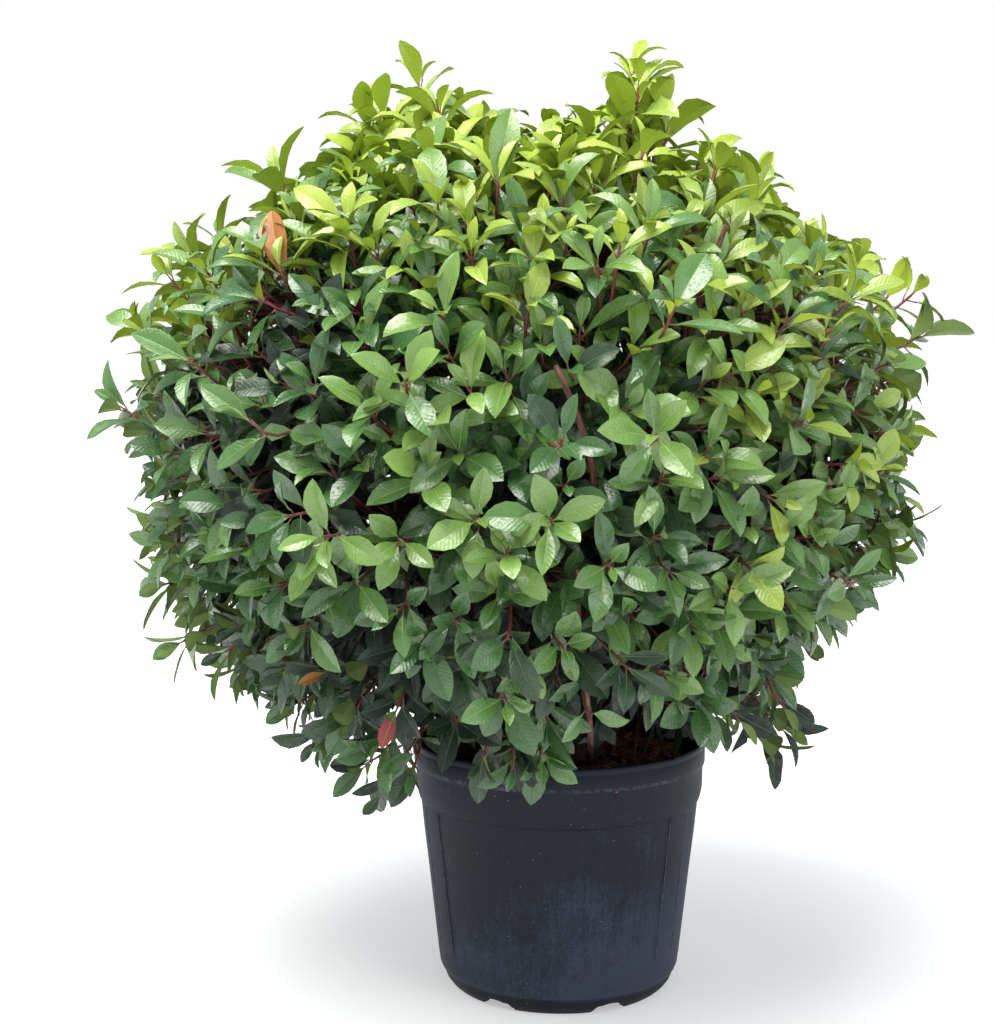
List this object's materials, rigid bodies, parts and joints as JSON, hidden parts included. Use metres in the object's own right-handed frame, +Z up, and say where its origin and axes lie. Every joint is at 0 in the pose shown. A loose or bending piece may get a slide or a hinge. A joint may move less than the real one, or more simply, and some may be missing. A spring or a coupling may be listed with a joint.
{
  "type": "potted photinia shrub",
  "caption": "Round, dense evergreen shrub with glossy leaves, standing in a tapering black nursery pot with a rolled rim.",
  "frame": {"origin": "centre of the pot's flat underside", "axes": "+Z up along the pot's axis, -Y towards the side seen in the picture, +X to that side's right"},
  "size_m": [1.098, 1.0597, 1.206],
  "materials": {
    "pot": "satin",
    "mulch": "matte",
    "bark": "matte",
    "leaf_young": "gloss",
    "leaf_green": "gloss",
    "leaf_deep": "satin"
  },
  "bodies": {
    "root": {"pot": "pot", "soil": "mulch", "stem_1": "bark", "stem_2": "bark", "stem_3": "bark", "stem_4": "bark", "stem_5": "bark", "stem_6": "bark", "bough_middle_1": "bark", "bough_middle_2": "bark", "bough_middle_3": "bark", "bough_middle_4": "bark", "bough_middle_5": "bark", "bough_middle_6": "bark", "bough_middle_7": "bark", "bough_skirt_1": "bark", "bough_skirt_2": "bark", "bough_skirt_3": "bark", "bough_skirt_4": "bark", "bough_skirt_5": "bark", "bough_skirt_6": "bark", "bough_top_1": "bark", "bough_top_2": "bark", "bough_top_3": "bark", "bough_top_4": "bark", "bough_upper_1": "bark", "bough_upper_2": "bark", "bough_upper_3": "bark", "bough_upper_4": "bark", "bough_upper_5": "bark", "bough_upper_6": "bark", "bough_upper_7": "bark", "foliage_middle_1": "leaf_green", "foliage_middle_2": "leaf_green", "foliage_middle_3": "leaf_green", "foliage_middle_4": "leaf_green", "foliage_middle_5": "leaf_green", "foliage_middle_6": "leaf_green", "foliage_middle_7": "leaf_green", "foliage_skirt_1": "leaf_deep", "foliage_skirt_2": "leaf_deep", "foliage_skirt_3": "leaf_deep", "foliage_skirt_4": "leaf_deep", "foliage_skirt_5": "leaf_deep", "foliage_skirt_6": "leaf_deep", "foliage_top_1": "leaf_young", "foliage_top_2": "leaf_young", "foliage_top_3": "leaf_young", "foliage_top_4": "leaf_young", "foliage_upper_1": "leaf_green", "foliage_upper_2": "leaf_green", "foliage_upper_3": "leaf_green", "foliage_upper_4": "leaf_green", "foliage_upper_5": "leaf_green", "foliage_upper_6": "leaf_green", "foliage_upper_7": "leaf_green"}
  },
  "joints": []
}
